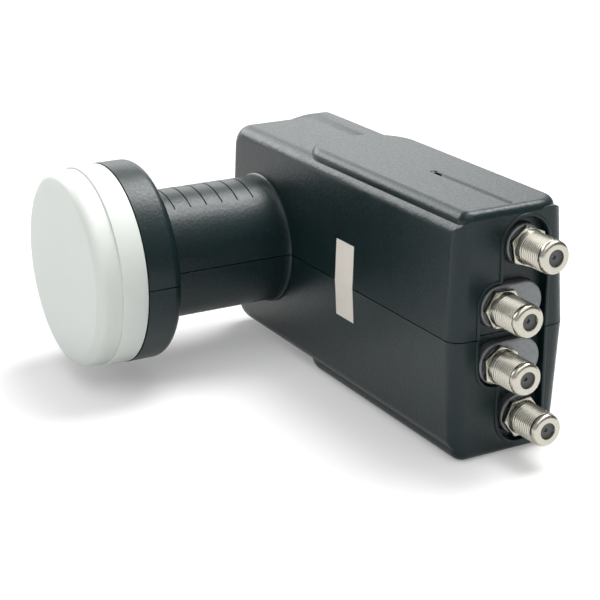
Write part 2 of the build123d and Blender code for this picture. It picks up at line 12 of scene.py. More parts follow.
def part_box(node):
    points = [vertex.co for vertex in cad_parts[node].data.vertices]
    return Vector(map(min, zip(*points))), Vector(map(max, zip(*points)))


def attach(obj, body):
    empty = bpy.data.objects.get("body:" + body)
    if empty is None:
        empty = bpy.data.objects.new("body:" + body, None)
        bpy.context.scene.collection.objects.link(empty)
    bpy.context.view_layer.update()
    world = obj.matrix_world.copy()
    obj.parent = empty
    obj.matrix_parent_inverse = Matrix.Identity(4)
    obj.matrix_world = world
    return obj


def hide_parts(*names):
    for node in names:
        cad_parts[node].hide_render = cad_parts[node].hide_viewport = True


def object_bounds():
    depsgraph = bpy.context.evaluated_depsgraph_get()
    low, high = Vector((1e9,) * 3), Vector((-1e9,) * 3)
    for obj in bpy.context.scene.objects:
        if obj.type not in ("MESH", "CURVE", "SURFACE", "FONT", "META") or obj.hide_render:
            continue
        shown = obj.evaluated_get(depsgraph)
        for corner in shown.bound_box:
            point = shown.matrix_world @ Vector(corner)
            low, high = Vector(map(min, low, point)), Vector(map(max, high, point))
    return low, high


bl_info = {
    "name": "Satellite LNB",
    "version": (1, 0, 0),
    "blender": (4, 5, 0),
    "location": "View3D > Sidebar > LNB",
    "description": "Dresses the packed CAD frame of a four-output satellite LNB",
    "category": "Object",
}

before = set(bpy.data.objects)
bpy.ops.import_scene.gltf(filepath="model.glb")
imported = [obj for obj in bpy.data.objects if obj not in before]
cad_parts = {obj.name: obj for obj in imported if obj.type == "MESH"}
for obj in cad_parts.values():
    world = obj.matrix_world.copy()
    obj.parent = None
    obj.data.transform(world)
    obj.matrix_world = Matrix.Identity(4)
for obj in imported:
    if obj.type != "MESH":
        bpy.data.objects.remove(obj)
cad_box = [list(corner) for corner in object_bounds()]

MM = 0.001
PORTS = (1, 2, 3, 4)
# Distances within which points count as one: in the CAD's triangles, in a turned mesh and on a ring
CAD_MERGE = 0.0005 * MM
TURNED_MERGE = 0.001 * MM
ON_RING = 0.01 * MM
# Angles in degrees over which an edge stays sharp
SHARP_MOULDED = 32
SHARP_TURNED = 40
SHARP_PLATED = 35
# Steps round a hex, and columns and rows of the paper
HEX_STEPS = 48
PAPER_GRID = (16, 36)

# Floor: half its side in metres, and its glow where the background shows
FLOOR_HALF = 6.0
FLOOR_GLOW = 0.25
# Soft edges of the reflector card and the wall: an axis, where the edge starts and stops, and its share of
# the light at the start and at the stop
CARD_EDGES = (
    ("X", -4.1, -2.6, 0.0, 1.0),
    ("X", 4.1, 2.6, 0.0, 1.0),
    ("Z", 0.25, 0.95, 0.0, 1.0),
    ("Z", 4.6, 2.6, 0.0, 1.0),
    ("X", 1.2, -1.9, 1.0, 4.0),
)
CARD_PLACE = (0, 4.0, 2.4)
CARD_HALF = (4.2, 1.0, 2.3, 1.0)
CARD_LIGHT = 1.8
WALL_EDGES = (("Y", 0.35, 0.75, 0.0, 1.0), ("Z", 0.05, 0.20, 0.0, 1.0), ("Z", 0.76, 0.48, 0.0, 1.0))
WALL_LIGHT = 0.72
ROOM_LIGHT = 0.16
# Soft boxes: a direction, the angles where each ends and where it fades, and a strength
SOFT_BOXES = (
    ((0.44, 0.15, 0.88), 22, 11, 13.0),
    ((-0.12, -0.22, 0.97), 42, 18, 1.65),
    ((-0.88, -0.25, 0.40), 50, 20, 0.40),
    ((-0.10, -0.75, 0.65), 50, 20, 0.28),
)

# Fitted view of the photograph: place in metres, then right, down and forward
CAMERA_PLACE = (-0.22307742, -0.43533920, 0.15264969)
CAMERA_RIGHT = (0.877087, -0.480288, -0.006452)
CAMERA_DOWN = (-0.166376, -0.291175, -0.942091)
CAMERA_FORWARD = (0.450596, 0.827370, -0.335294)
CAMERA_FOCAL_SHARE = 1600.688 / 600
CAMERA_SENSOR = 36.0
CAMERA_NEAR = 0.01


def linear(code):
    """Linear colour of an sRGB hex value such as "#30383a"."""
    shares = [int(code[i : i + 2], 16) / 255 for i in (1, 3, 5)]
    return tuple(s / 12.92 if s <= 0.04045 else ((s + 0.055) / 1.055) ** 2.4 for s in shares)


def rgba(colour):
    """A colour with full alpha, as node sockets take it."""
    return (*colour, 1.0)


def length(name, description, millimetres):
    """A size that a user may change, kept in metres."""
    return FloatProperty(
        name=name,
        description=description,
        default=millimetres * MM,
        precision=5,
        unit="LENGTH",
        subtype="DISTANCE",
    )


def colour(name, description, code):
    """A colour that a user may change."""
    return FloatVectorProperty(
        name=name, description=description, default=linear(code), size=3, min=0, max=1, subtype="COLOR"
    )


class HousingSizes(PropertyGroup):
    """Sizes of the housing's neck where it meets the body"""

    neck_radius: length("Neck radius", "Radius of the clamp neck", 20.0)
    root_radius: length("Root radius", "Radius of the solid's flare at the body", 21.6)
    flare_length: length("Flare length", "Length of the flare along the neck", 2.6)
    root_rise: length("Root rise", "How far the eased flare rises", 0.45)
    root_lip: length("Root lip", "Fine lip that ends the flare", 0.27)
    front_draft: FloatProperty(
        name="Front draft",
        description="Draft of the front face",
        default=radians(2.3),
        unit="ROTATION",
        subtype="ANGLE",
    )


class FeedCapSizes(PropertyGroup):
    """Sizes of the white feed cap"""

    skirt: length("Skirt length", "From the collar to the step", 7.8)
    step: length("Step", "How far the nose is set in from the skirt", 0.7)
    wall: length("Wall", "Thickness of the moulding", 1.8)
    rim_round: length("Rim round", "Round between the nose and the face", 3.1)
    dish: length("Dish", "How far the middle of the face is sunk", 0.5)
    edge_round: length("Edge round", "Round on the small moulded edges", 0.25)
    steps: IntProperty(name="Steps", description="Steps round the cap", default=160, min=24)


class ConnectorSizes(PropertyGroup):
    """Sizes of the F connectors"""

    pitch: length("Pitch", "Pitch of the thread", 0.794)
    thread_radius: length("Thread radius", "Outside radius of the thread", 4.7)
    thread_depth: length("Thread depth", "Height of the thread's ridge", 0.3)
    smooth_step: length("Smooth step", "How far the smooth root and tip are below the thread", 0.08)
    root_length: length("Root length", "Smooth root in front of the hex", 1.5)
    root_flare: length("Root flare", "How much the root widens towards the hex", 0.35)
    tip_length: length("Tip length", "Smooth tip after the thread", 1.7)
    tip_taper: length("Tip taper", "How much the smooth tip narrows", 0.14)
    tip_round: length("Tip round", "Round of the tip", 0.95)
    stub_radius: length("Stub radius", "Radius of the stub in the chassis", 4.0)
    mouth_radius: length("Mouth radius", "Radius of the socket's mouth", 2.35)
    hex_flats: length("Hex flats", "Distance across the flats", 10.3)
    hex_thickness: length("Hex thickness", "Thickness of the hex", 1.6)
    hex_chamfer: length("Hex chamfer", "Broken edge of the hex", 0.16)
    steps: IntProperty(name="Steps", description="Steps round a barrel", default=64, min=24)


class LabelSizes(PropertyGroup):
    """Sizes of the paper seal"""

    thickness: length("Thickness", "Thickness of the paper", 0.12)
    lift: length("Lift", "How far the paper stands off over the seam", 0.05)
    wave: length("Wave", "Height of the small waves in the paper", 0.02)


class FinishColours(PropertyGroup):
    """Colours of what shows"""

    housing: colour("Housing", "Moulded housing", "#0e2022")
    cap: colour("Cap", "Moulded feed cap", "#d6dbd6")
    nickel: colour("Nickel", "Plated connectors", "#c2bfb3")
    casting: colour("Casting", "Die-cast chassis", "#8d9092")
    paper: colour("Paper", "Seal label", "#ece5da")
    insulator: colour("Insulator", "Connector insulators", "#585b5a")


class LnbSettings(PropertyGroup):
    """All settings of the LNB"""

    housing: PointerProperty(type=HousingSizes)
    cap: PointerProperty(type=FeedCapSizes)
    connector: PointerProperty(type=ConnectorSizes)
    label: PointerProperty(type=LabelSizes)
    finish: PointerProperty(type=FinishColours)


def add(tree, kind, inputs=None, **settings):
    """Adds a node with its settings, and links or fills its inputs."""
    made = tree.nodes.new(kind)
    for name, value in settings.items():
        setattr(made, name, value)
    for name, value in (inputs or {}).items():
        if isinstance(value, bpy.types.NodeSocket):
            tree.links.new(value, made.inputs[name])
        else:
            made.inputs[name].default_value = value
    return made


def new_material(name):
    """An empty material, its tree and its output node."""
    material = bpy.data.materials.new(name)
    material.use_nodes = True
    material.node_tree.nodes.clear()
    output = add(material.node_tree, "ShaderNodeOutputMaterial")
    return material, material.node_tree, output


def fade_edges(tree, axes, edges, strength):
    """Multiplies a strength by soft edges."""
    for axis, start, stop, low, high in edges:
        edge = add(
            tree,
            "ShaderNodeMapRange",
            {"Value": axes[axis], "From Min": start, "From Max": stop, "To Min": low, "To Max": high},
            interpolation_type="SMOOTHSTEP",
        )
        faded = add(tree, "ShaderNodeMath", {0: strength, 1: edge.outputs[0]}, operation="MULTIPLY")
        strength = faded.outputs[0]
    return strength


def tones(colour_value, low=0.85, high=1.1):
    """A darker and a lighter tone of one colour."""
    return tuple(low * c for c in colour_value), tuple(min(1.0, high * c) for c in colour_value)


def moulded_abs(finish):
    """Spark-eroded ABS: near-black with a fine grain that scatters the highlights, paler flecks painted on the
    grain's high spots as glints, and a few pale rubs.
    """
    material, tree, output = new_material("spark_eroded_abs")
    place = add(tree, "ShaderNodeTexCoord").outputs["Object"]
    # The real grain is about 0.1 mm. It is drawn at 0.8 mm to show in the render.
    grain_scale, rub_scale, cloud_scale = 1 / (0.8 * MM), 1 / (2.2 * MM), 1 / (9 * MM)
    grain = add(tree, "ShaderNodeTexNoise", {"Vector": place, "Scale": grain_scale, "Detail": 3.0, "Roughness": 0.6})
    cloud = add(tree, "ShaderNodeTexNoise", {"Vector": place, "Scale": cloud_scale, "Detail": 4.0})
    rub = add(tree, "ShaderNodeTexNoise", {"Vector": place, "Scale": rub_scale, "Detail": 6.0, "Roughness": 0.7})
    rubs = add(
        tree, "ShaderNodeMapRange", {"Value": rub.outputs[0], "From Min": 0.70, "From Max": 0.78, "To Max": 0.2}
    )
    dark, pale = tones(finish.housing, 0.8, 1.25)
    shade = add(tree, "ShaderNodeMix", {0: cloud.outputs[0], 6: rgba(dark), 7: rgba(pale)}, data_type="RGBA")
    # Paler flecks where the grain is highest are painted glints, standing in for the sparkle of the grain in the
    # highlights.
    glint_mask = add(
        tree, "ShaderNodeMapRange", {"Value": grain.outputs[0], "From Min": 0.62, "From Max": 0.80, "To Max": 0.20}
    )
    glint_tone, rub_tone = rgba(linear("#5c6769")), rgba(linear("#8c9494"))
    glint_flecks = add(tree, "ShaderNodeMix", {0: glint_mask.outputs[0], 6: shade.outputs[2], 7: glint_tone}, data_type="RGBA")
    worn = add(tree, "ShaderNodeMix", {0: rubs.outputs[0], 6: glint_flecks.outputs[2], 7: rub_tone}, data_type="RGBA")
    # The grain's deepest and highest spots are levelled, so that they don't show as dots.
    level = add(
        tree,
        "ShaderNodeMapRange",
        {"Value": grain.outputs[0], "From Min": 0.28, "From Max": 0.72},
        interpolation_type="SMOOTHSTEP",
    )
    gloss = add(tree, "ShaderNodeMapRange", {"Value": level.outputs[0], "To Min": 0.29, "To Max": 0.40})
    bump = add(tree, "ShaderNodeBump", {"Height": level.outputs[0], "Strength": 0.8, "Distance": 0.034 * MM})
    shader = add(
        tree,
        "ShaderNodeBsdfPrincipled",
        {"Base Color": worn.outputs[2], "Roughness": gloss.outputs[0], "IOR": 1.39, "Normal": bump.outputs[0]},
    )
    tree.links.new(shader.outputs[0], output.inputs[0])
    return material


def moulded_cap(finish):
    """Moulded polypropylene: milky, a little light goes into it, with a soft satin skin and faint scuffs."""
    material, tree, output = new_material("milky_polypropylene")
    place = add(tree, "ShaderNodeTexCoord").outputs["Object"]
    cloud_scale, scuff_scale = 1 / (14 * MM), 1 / (1.6 * MM)
    cloud = add(tree, "ShaderNodeTexNoise", {"Vector": place, "Scale": cloud_scale, "Detail": 3.0})
    scuff = add(tree, "ShaderNodeTexNoise", {"Vector": place, "Scale": scuff_scale, "Detail": 6.0, "Roughness": 0.7})
    scuffs = add(
        tree, "ShaderNodeMapRange", {"Value": scuff.outputs[0], "From Min": 0.66, "From Max": 0.78, "To Max": 0.10}
    )
    warm = tuple(0.97 * c for c in finish.cap)
    shade = add(tree, "ShaderNodeMix", {0: cloud.outputs[0], 6: rgba(warm), 7: rgba(finish.cap)}, data_type="RGBA")
    scuff_tone = rgba(linear("#c4c9c6"))
    worn = add(tree, "ShaderNodeMix", {0: scuffs.outputs[0], 6: shade.outputs[2], 7: scuff_tone}, data_type="RGBA")
    gloss = add(tree, "ShaderNodeMapRange", {"Value": cloud.outputs[0], "To Min": 0.36, "To Max": 0.46})
    bump = add(tree, "ShaderNodeBump", {"Height": scuff.outputs[0], "Strength": 0.05, "Distance": 0.05 * MM})
    shader = add(
        tree,
        "ShaderNodeBsdfPrincipled",
        {
            "Base Color": worn.outputs[2],
            "Roughness": gloss.outputs[0],
            "IOR": 1.49,
            "Subsurface Weight": 0.15,
            "Subsurface Radius": (1.0, 1.0, 0.9),
            "Subsurface Scale": 1.5 * MM,
            "Normal": bump.outputs[0],
        },
    )
    tree.links.new(shader.outputs[0], output.inputs[0])
    return material


def plated_nickel(finish):
    """Turned brass under nickel plate: warm silver with fine turning lines round each barrel."""
    material, tree, output = new_material("plated_nickel")
    place = add(tree, "ShaderNodeTexCoord").outputs["Object"]
    # Turning lines 0.12 mm apart lie across Y, so the pattern is squeezed along it.
    squeezed = add(tree, "ShaderNodeMapping", {"Vector": place, "Scale": (1.0, 20.0, 1.0)})
    lines = add(tree, "ShaderNodeTexNoise", {"Vector": squeezed.outputs[0], "Scale": 1 / (2.4 * MM), "Detail": 3.0})
    tarnish = add(tree, "ShaderNodeTexNoise", {"Vector": place, "Scale": 1 / (1.5 * MM), "Detail": 4.0})
    dull, bright = tones(finish.nickel, 0.82, 1.0)
    shade = add(tree, "ShaderNodeMix", {0: tarnish.outputs[0], 6: rgba(dull), 7: rgba(bright)}, data_type="RGBA")
    gloss = add(tree, "ShaderNodeMapRange", {"Value": tarnish.outputs[0], "To Min": 0.16, "To Max": 0.34})
    bump = add(tree, "ShaderNodeBump", {"Height": lines.outputs[0], "Strength": 0.10, "Distance": 0.03 * MM})
    shader = add(
        tree,
        "ShaderNodeBsdfPrincipled",
        {"Base Color": shade.outputs[2], "Metallic": 1.0, "Roughness": gloss.outputs[0], "Normal": bump.outputs[0]},
    )
    tree.links.new(shader.outputs[0], output.inputs[0])
    return material


def simple_finish(name, colours, grain_mm, roughness, metallic=0.0):
    """A finish with two tones of one material, mixed by its grain, which also roughens it."""
    roughness_spread = 0.08
    material, tree, output = new_material(name)
    place = add(tree, "ShaderNodeTexCoord").outputs["Object"]
    grain = add(tree, "ShaderNodeTexNoise", {"Vector": place, "Scale": 1 / (grain_mm * MM), "Detail": 4.0})
    low, high = (rgba(tone) for tone in colours)
    shade = add(tree, "ShaderNodeMix", {0: grain.outputs[0], 6: low, 7: high}, data_type="RGBA")
    gloss = add(
        tree,
        "ShaderNodeMapRange",
        {
            "Value": grain.outputs[0],
            "To Min": roughness - roughness_spread,
            "To Max": roughness + roughness_spread,
        },
    )
    bump = add(tree, "ShaderNodeBump", {"Height": grain.outputs[0], "Strength": 0.3, "Distance": 0.02 * MM})
    inputs = {
        "Base Color": shade.outputs[2],
        "Metallic": metallic,
        "Roughness": gloss.outputs[0],
        "Normal": bump.outputs[0],
    }
    if not metallic:
        inputs["IOR"] = 1.5
    shader = add(tree, "ShaderNodeBsdfPrincipled", inputs)
    tree.links.new(shader.outputs[0], output.inputs[0])
    return material


def finish_piece(mesh_builder, name, material, slot, *nodes):
    """Turns a finished bmesh into a piece that rides on the body and stands for its CAD nodes."""
    mesh = bpy.data.meshes.new(name)
    mesh_builder.to_mesh(mesh)
    mesh_builder.free()
    piece = bpy.data.objects.new(name, mesh)
    bpy.context.scene.collection.objects.link(piece)
    mesh.materials.append(material)
    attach(piece, "root")
    if nodes:
        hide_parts(*nodes)
    return piece


def smooth(mesh_builder, angle):
    """Smooth shading with edges over an angle in degrees kept sharp."""
    for face in mesh_builder.faces:
        face.smooth = True
    for edge in mesh_builder.edges:
        edge.smooth = len(edge.link_faces) == 2 and edge.calc_face_angle(0) < radians(angle)


def merged_copy(node):
    """A bmesh of a CAD node with its loose triangles joined."""
    copied = bmesh.new()
    copied.from_mesh(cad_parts[node].data)
    bmesh.ops.remove_doubles(copied, verts=copied.verts, dist=CAD_MERGE)
    return copied


def turned(outline, axis, steps):
    """A bmesh turned about an axis through the origin from a closed outline of points."""
    built = bmesh.new()
    corners = [built.verts.new(point) for point in outline]
    edges = [built.edges.new((a, b)) for a, b in zip(corners, corners[1:] + corners[:1])]
    bmesh.ops.spin(
        built,
        geom=corners + edges,
        cent=(0, 0, 0),
        axis=axis,
        dvec=(0, 0, 0),
        angle=2 * pi,
        steps=steps,
        use_merge=True,
    )
    bmesh.ops.remove_doubles(built, verts=built.verts, dist=TURNED_MERGE)
    bmesh.ops.dissolve_degenerate(built, edges=built.edges, dist=TURNED_MERGE)
    bmesh.ops.recalc_face_normals(built, faces=built.faces)
    return built


def ring_edges(built, place, radius, along):
    """The edges of the ring at one place along X or Y and one radius."""
    across = [i for i in range(3) if i != along]

    def on_ring(vert):
        reach = Vector((vert.co[across[0]], vert.co[across[1]])).length
        return abs(vert.co[along] - place) < ON_RING and abs(reach - radius) < ON_RING

    return [edge for edge in built.edges if all(on_ring(vert) for vert in edge.verts)]


def round_edges(built, edges, size, segments):
    """Rounds edges with one bevel."""
    bmesh.ops.bevel(
        built,
        geom=edges,
        offset=size,
        offset_type="OFFSET",
        segments=segments,
        profile=0.5,
        affect="EDGES",
        clamp_overlap=True,
        material=-1,
    )


class LNB_OT_housing(Operator):
    """Dress the two moulded halves of the housing"""

    bl_idname = "lnb.housing"
    bl_label = "Housing"

    def execute(self, context):
        material = moulded_abs(context.scene.lnb.finish)
        for half in ("upper", "lower"):
            built = merged_copy(f"housing_{half}")
            self.ease_root(built, context.scene.lnb.housing)
            smooth(built, SHARP_MOULDED)
            piece = finish_piece(built, f"moulded_half_{half}", material, "housing_plastic", f"housing_{half}")
            piece.modifiers.new("even_shading", "WEIGHTED_NORMAL").keep_sharp = True
        return {"FINISHED"}

    def ease_root(self, built, sizes):
        """Eases the flare at the neck's root to a slight rise that ends in a fine lip."""
        near = 0.05 * MM
        lip_power = 6
        flare = sizes.root_radius - sizes.neck_radius
        for vert in built.verts:
            reach = Vector((vert.co.y, vert.co.z)).length
            share = (reach - sizes.neck_radius) / flare
            front = abs(vert.co.z) * tan(sizes.front_draft)
            on_flare = 0.001 < share < 1 + near / flare
            if on_flare and -sizes.flare_length - near < vert.co.x < front + near:
                eased = sizes.neck_radius + sizes.root_rise * share + sizes.root_lip * share**lip_power
                vert.co.yz = vert.co.yz * (eased / reach)


class LNB_OT_feed_cap(Operator):
    """Turn the white feed cap"""

    bl_idname = "lnb.feed_cap"
    bl_label = "Feed cap"

    def execute(self, context):
        sizes = context.scene.lnb.cap
        low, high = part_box("feed_cap")
        rear, face, radius = high.x, low.x, high.y
        step_x = rear - sizes.skirt
        nose = radius - sizes.step
        # The face slopes little up to this radius, and more from there to its middle
        bend, bend_sink = 0.62 * radius, 0.15 * sizes.dish
        outline = [
            (rear, 0, radius),
            (step_x, 0, radius),
            (step_x, 0, nose),
            (face, 0, nose),
            (face + bend_sink, 0, bend),
            (face + sizes.dish, 0, 0),
            (face + sizes.dish + sizes.wall, 0, 0),
            (face + sizes.wall, 0, nose - sizes.wall),
            (step_x, 0, nose - sizes.wall),
            (step_x, 0, radius - sizes.wall),
            (rear, 0, radius - sizes.wall),
        ]
        built = turned(outline, (1, 0, 0), sizes.steps)
        round_edges(built, ring_edges(built, face, nose, 0), sizes.rim_round, 10)
        inner_rim = ring_edges(built, face + sizes.wall, nose - sizes.wall, 0)
        round_edges(built, inner_rim, sizes.rim_round - sizes.wall, 4)
        small = ring_edges(built, rear, radius, 0) + ring_edges(built, step_x, radius, 0)
        round_edges(built, small, sizes.edge_round, 3)
        smooth(built, SHARP_TURNED)
        finish_piece(built, "cap_moulding", moulded_cap(context.scene.lnb.finish), "cap_plastic", "feed_cap")
        return {"FINISHED"}


class LNB_OT_connectors(Operator):
    """Turn and thread the four F connector shells"""

    bl_idname = "lnb.connectors"
    bl_label = "F connectors"

    def execute(self, context):
        sizes = context.scene.lnb.connector
        material = plated_nickel(context.scene.lnb.finish)
        for number in PORTS:
            built = self.shell(sizes, number)
            finish_piece(built, f"connector_shell_{number}", material, "nickel", f"port_shell_{number}")
        return {"FINISHED"}

    def shell(self, sizes, number):
        """One shell: barrel and stub, a helical thread, and the hex."""
        low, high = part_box(f"port_shell_{number}")
        core_low, core_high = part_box(f"port_insulator_{number}")
        centre = Vector(((core_low.x + core_high.x) / 2, 0, (core_low.z + core_high.z) / 2))
        bore_gap = 0.05 * MM
        bore = (core_high.x - core_low.x) / 2 + bore_gap
        tip, stub_end, mouth_end = low.y, high.y, core_low.y
        hex_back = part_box(f"port_seal_{number}")[0].y
        hex_middle = hex_back - sizes.hex_thickness / 2
        hex_front = hex_back - sizes.hex_thickness
        crest = sizes.thread_radius
        valley = crest - sizes.thread_depth
        plain = crest - sizes.smooth_step
        root_end = hex_front - sizes.root_length
        tip_start = tip + sizes.tip_length
        outline = [
            (0, stub_end, bore),
            (0, stub_end, sizes.stub_radius),
            (0, hex_middle, sizes.stub_radius),
            (0, hex_middle, plain + sizes.root_flare),
            (0, hex_front, plain + sizes.root_flare),
            (0, root_end, plain),
            (0, root_end - sizes.pitch, valley),
            (0, tip_start + sizes.pitch, valley),
            (0, tip_start, plain),
            (0, tip, plain - sizes.tip_taper),
            (0, tip, sizes.mouth_radius),
            (0, mouth_end, sizes.mouth_radius),
            (0, mouth_end, bore),
        ]
        built = turned(outline, (0, 1, 0), sizes.steps)
        round_edges(built, ring_edges(built, tip, plain - sizes.tip_taper, 1), sizes.tip_round, 6)
        round_edges(built, ring_edges(built, tip, sizes.mouth_radius, 1), sizes.smooth_step, 2)
        self.thread(built, sizes, root_end, tip_start, valley)
        self.hexagon(built, sizes, number, hex_front, centre)
        smooth(built, SHARP_PLATED)
        bmesh.ops.translate(built, verts=built.verts, vec=centre)
        return built

    def thread(self, built, sizes, start, end, valley):
        """Winds one ridge of thread along the barrel. Its ends run out under the smooth root and tip."""
        # Half the ridge's width at its foot and at its crest, the depth of its foot, and the slope of its ends
        half = 0.46 * sizes.pitch
        flat = 0.07 * sizes.pitch
        sunk = valley - 0.1 * sizes.thread_depth
        run_out = 0.2
        plain = sizes.thread_radius - sizes.smooth_step
        steps = round(((start - end) / sizes.pitch + 1) * sizes.steps)
        section = [(half, sunk), (flat, sizes.thread_radius), (-flat, sizes.thread_radius), (-half, sunk)]
        ridge = built.faces.new([built.verts.new((0, start + half + y, z)) for y, z in section])
        others = set(built.verts) - set(ridge.verts)
        bmesh.ops.spin(
            built,
            geom=[ridge, *ridge.edges, *ridge.verts],
            cent=(0, 0, 0),
            axis=(0, 1, 0),
            dvec=(0, -sizes.pitch / sizes.steps, 0),
            angle=2 * pi * steps / sizes.steps,
            steps=steps,
        )
        for vert in set(built.verts) - others:
            reach = Vector((vert.co.x, vert.co.z)).length
            past = max(vert.co.y - start, end - vert.co.y)
            if past > 0:
                share = min(reach, plain - run_out * past) / reach
                vert.co = (share * vert.co.x, vert.co.y, share * vert.co.z)
        bmesh.ops.recalc_face_normals(built, faces=built.faces)

    def hexagon(self, built, sizes, number, front, centre):
        """A thin hex plate round the barrel, turned as in the CAD, with broken edges."""
        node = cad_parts[f"port_shell_{number}"].data
        corner_reach = sizes.hex_flats / 2 / cos(pi / 6)
        points = (vert.co - centre for vert in node.vertices)
        corner = max(points, key=lambda point: Vector((point.x, point.z)).length)
        turn = Vector((1, 0)).angle_signed(Vector((corner.x, corner.z)))
        stub = sizes.stub_radius
        outer = bmesh.ops.create_circle(built, cap_ends=False, radius=corner_reach, segments=HEX_STEPS)["verts"]
        for vert in outer:
            around = atan2(vert.co.y, vert.co.x) % (pi / 3)
            vert.co *= cos(pi / 6) / cos(around - pi / 6)
        inner = bmesh.ops.create_circle(built, cap_ends=False, radius=stub, segments=HEX_STEPS)["verts"]
        loops = list(dict.fromkeys(edge for vert in outer + inner for edge in vert.link_edges))
        faces = bmesh.ops.bridge_loops(built, edges=loops)["faces"]
        raised = bmesh.ops.extrude_face_region(built, geom=faces, use_keep_orig=True)
        lifted = [part for part in raised["geom"] if isinstance(part, bmesh.types.BMVert)]
        bmesh.ops.translate(built, verts=lifted, vec=(0, 0, sizes.hex_thickness))
        plate = list(dict.fromkeys(outer + inner + lifted))
        bmesh.ops.transform(built, matrix=Matrix.Rotation(pi / 2, 4, "X"), verts=plate)
        bmesh.ops.rotate(built, cent=(0, 0, 0), matrix=Matrix.Rotation(turn, 3, "Y"), verts=plate)
        bmesh.ops.translate(built, verts=plate, vec=(0, front + sizes.hex_thickness, 0))
        rim_reach = stub + 0.5 * MM
        rims = [
            edge
            for edge in dict.fromkeys(edge for vert in plate for edge in vert.link_edges)
            if len(edge.link_faces) == 2
            and edge.calc_face_angle(0) > radians(SHARP_TURNED)
            and all(Vector((vert.co.x, vert.co.z)).length > rim_reach for vert in edge.verts)
        ]
        round_edges(built, rims, sizes.hex_chamfer, 2)
        bmesh.ops.recalc_face_normals(built, faces=built.faces)


class LNB_OT_chassis(Operator):
    """Dress the die-cast chassis and what it holds"""

    bl_idname = "lnb.chassis"
    bl_label = "Chassis and inside"

    def execute(self, context):
        finish = context.scene.lnb.finish
        # Zinc die casting: mid-grey, as cast, with a soft bright skin
        casting = simple_finish("zinc_casting", tones(finish.casting, 0.6, 1.15), 0.9, 0.55, metallic=0.75)
        # EPDM rubber: black and dull
        rubber = simple_finish("epdm_rubber", tones(linear("#151616")), 0.3, 0.75)
        # Acetal insulator: mid-grey with a satin skin
        insulator = simple_finish("insulator_plastic", tones(finish.insulator), 0.4, 0.5)
        # Turned brass: warm yellow and bright
        brass = simple_finish("turned_brass", tones(linear("#c9a45a")), 0.3, 0.3, metallic=1.0)
        # Tinned bronze spring: dull warm grey
        tinned = simple_finish("tinned_bronze", tones(linear("#8f8d86")), 0.3, 0.45, metallic=1.0)
        # Zinc-plated steel screws: cold and bright
        steel = simple_finish("plated_steel", tones(linear("#b9bcc0")), 0.3, 0.3, metallic=1.0)
        # Glass laminate under solder mask: deep green with a satin skin
        board = simple_finish("solder_mask", tones(linear("#1d5c38"), 0.7, 1.2), 3.0, 0.35)
        # Copper under a thin coat of tin: warm and bright
        copper = simple_finish("tinned_copper", tones(linear("#c98a5c")), 0.4, 0.3, metallic=1.0)
        # Fired ceramic: pale buff and dull
        ceramic = simple_finish("fired_ceramic", tones(linear("#c8bda6")), 0.3, 0.6)
        # Epoxy of the chips: black and dull
        epoxy = simple_finish("chip_epoxy", tones(linear("#1b1b1c")), 0.3, 0.6)
        chassis = merged_copy("chassis")
        smooth(chassis, SHARP_MOULDED)
        piece = finish_piece(chassis, "chassis_casting", casting, "cast_zinc", "chassis")
        piece.modifiers.new("even_shading", "WEIGHTED_NORMAL").keep_sharp = True
        finishes = {
            "chassis_lid": casting,
            "cap_seal": rubber,
            "lid_screws": steel,
            "circuit_board": board,
            "probe_along": copper,
            "probe_across": copper,
            "resonators": ceramic,
            "tuning_screws": brass,
            "switch_chips": epoxy,
            "regulators": epoxy,
            "transistors": epoxy,
        }
        for number in PORTS:
            finishes[f"port_insulator_{number}"] = insulator
            finishes[f"port_contact_{number}"] = tinned
            finishes[f"port_seal_{number}"] = rubber
        for node, material in finishes.items():
            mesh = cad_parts[node].data
            mesh.materials.clear()
            mesh.materials.append(material)
        return {"FINISHED"}


class LNB_OT_label(Operator):
    """Lay the blank paper seal over the seam"""

    bl_idname = "lnb.label"
    bl_label = "Seal label"

    def execute(self, context):
        # Uncoated paper: warm white with short fibres
        paper = simple_finish("label_paper", tones(context.scene.lnb.finish.paper, 0.93, 1.05), 0.5, 0.8)
        sizes = context.scene.lnb.label
        low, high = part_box("seal_label")
        front = low.x + sizes.thickness
        wave_length, seam_reach = 3 * MM, 1.2 * MM
        columns, rows = PAPER_GRID
        built = bmesh.new()
        bmesh.ops.create_grid(built, x_segments=columns, y_segments=rows, size=0.5)
        for vert in built.verts:
            y = low.y + (vert.co.x + 0.5) * (high.y - low.y)
            z = low.z + (vert.co.y + 0.5) * (high.z - low.z)
            drafted = abs(z) * (high.x - front) / max(high.z, -low.z)
            waved = sizes.wave * (1 + noise.noise(Vector((0, y, z)) / wave_length))
            over_seam = max(0.0, 1 - abs(z) / seam_reach)
            vert.co = (front + drafted - waved - sizes.lift * over_seam, y, z)
        bmesh.ops.recalc_face_normals(built, faces=built.faces)
        if sum(face.normal.x for face in built.faces) > 0:
            bmesh.ops.reverse_faces(built, faces=built.faces)
        bmesh.ops.solidify(built, geom=built.faces[:], thickness=sizes.thickness)
        smooth(built, SHARP_TURNED)
        finish_piece(built, "paper_seal", paper, "label_paper", "seal_label")
        return {"FINISHED"}


